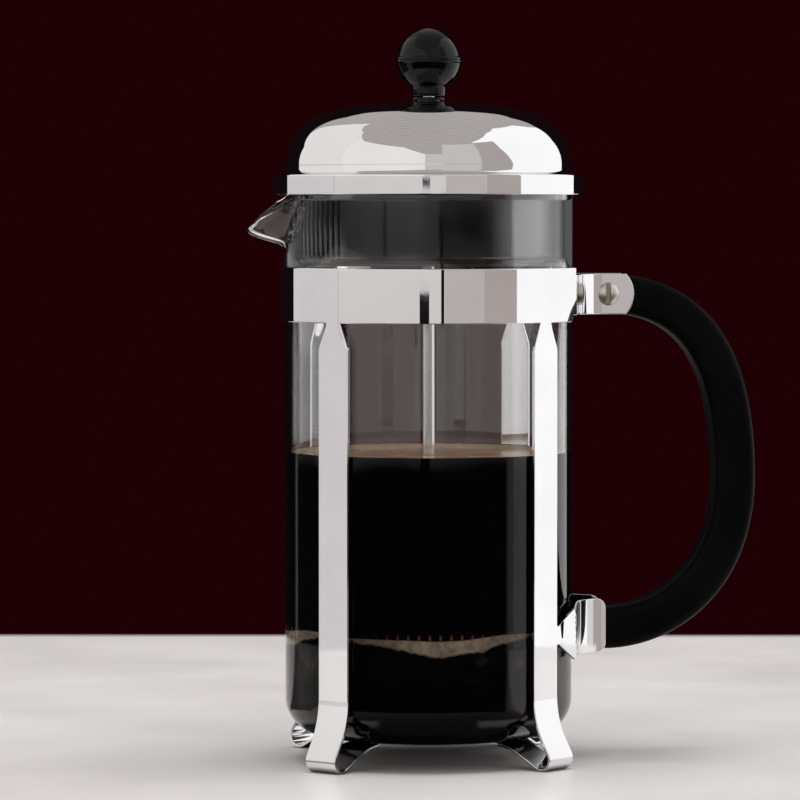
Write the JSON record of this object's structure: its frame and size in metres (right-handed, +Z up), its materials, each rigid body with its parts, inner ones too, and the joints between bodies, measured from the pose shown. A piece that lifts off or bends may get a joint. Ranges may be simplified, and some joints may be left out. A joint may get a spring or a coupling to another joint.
{
  "type": "french press",
  "caption": "Glass coffee press in a chromed sheet frame with a black side handle, and a domed lid that guides a rod with a ball knob and a mesh filter.",
  "frame": {"origin": "on the beaker's axis, at the level of the surface that the four feet stand on", "axes": "+Z up along the beaker's axis, +X towards the handle, -X towards the spout"},
  "size_m": [0.1728, 0.1046, 0.2467],
  "materials": {
    "chrome": "polished chrome plate",
    "handle_plastic": "fine satin black moulding",
    "knob_plastic": "polished black moulding",
    "insert_plastic": "dark grey moulding",
    "glass": "clear heat-resistant glass",
    "steel": "bright stainless steel",
    "mesh": "woven stainless steel wire",
    "nickel": "nickel plate, slightly warm",
    "brass": "turned brass"
  },
  "bodies": {
    "frame": {"frame_band": "chrome", "leg_front_left": "chrome", "leg_front_right": "chrome", "leg_back_left": "chrome", "leg_back_right": "chrome", "handle": "handle_plastic", "clamp_screw": "nickel", "clamp_nut": "nickel"},
    "beaker": {"beaker": "glass"},
    "bush": {"rod_bush": "knob_plastic", "bush_nut": "nickel"},
    "lid": {"lid_dome": "chrome", "lid_insert": "insert_plastic"},
    "plunger": {"plunger_rod": "steel", "rod_collar": "steel", "spiral_plate": "steel", "edge_spring": "steel", "filter_mesh": "mesh", "cross_plate": "steel", "hub_nut": "steel", "knob_base": "knob_plastic", "knob_cap": "knob_plastic", "knob_insert": "brass"}
  },
  "joints": [
    {"name": "beaker_lift", "type": "slide", "parent": "frame", "child": "beaker", "axis": [0, 0, 1], "range_m": [0, 0.16]},
    {"name": "lid_lift", "type": "slide", "parent": "beaker", "child": "bush", "axis": [0, 0, 1], "range_m": [0, 0.16]},
    {"name": "lid_turn", "type": "hinge", "parent": "bush", "child": "lid", "pos_m": [0, 0, 0.195], "axis": [0, 0, 1], "continuous": true},
    {"name": "plunger_slide", "type": "slide", "parent": "bush", "child": "plunger", "axis": [0, 0, 1], "range_m": [0, 0.12]}
  ]
}
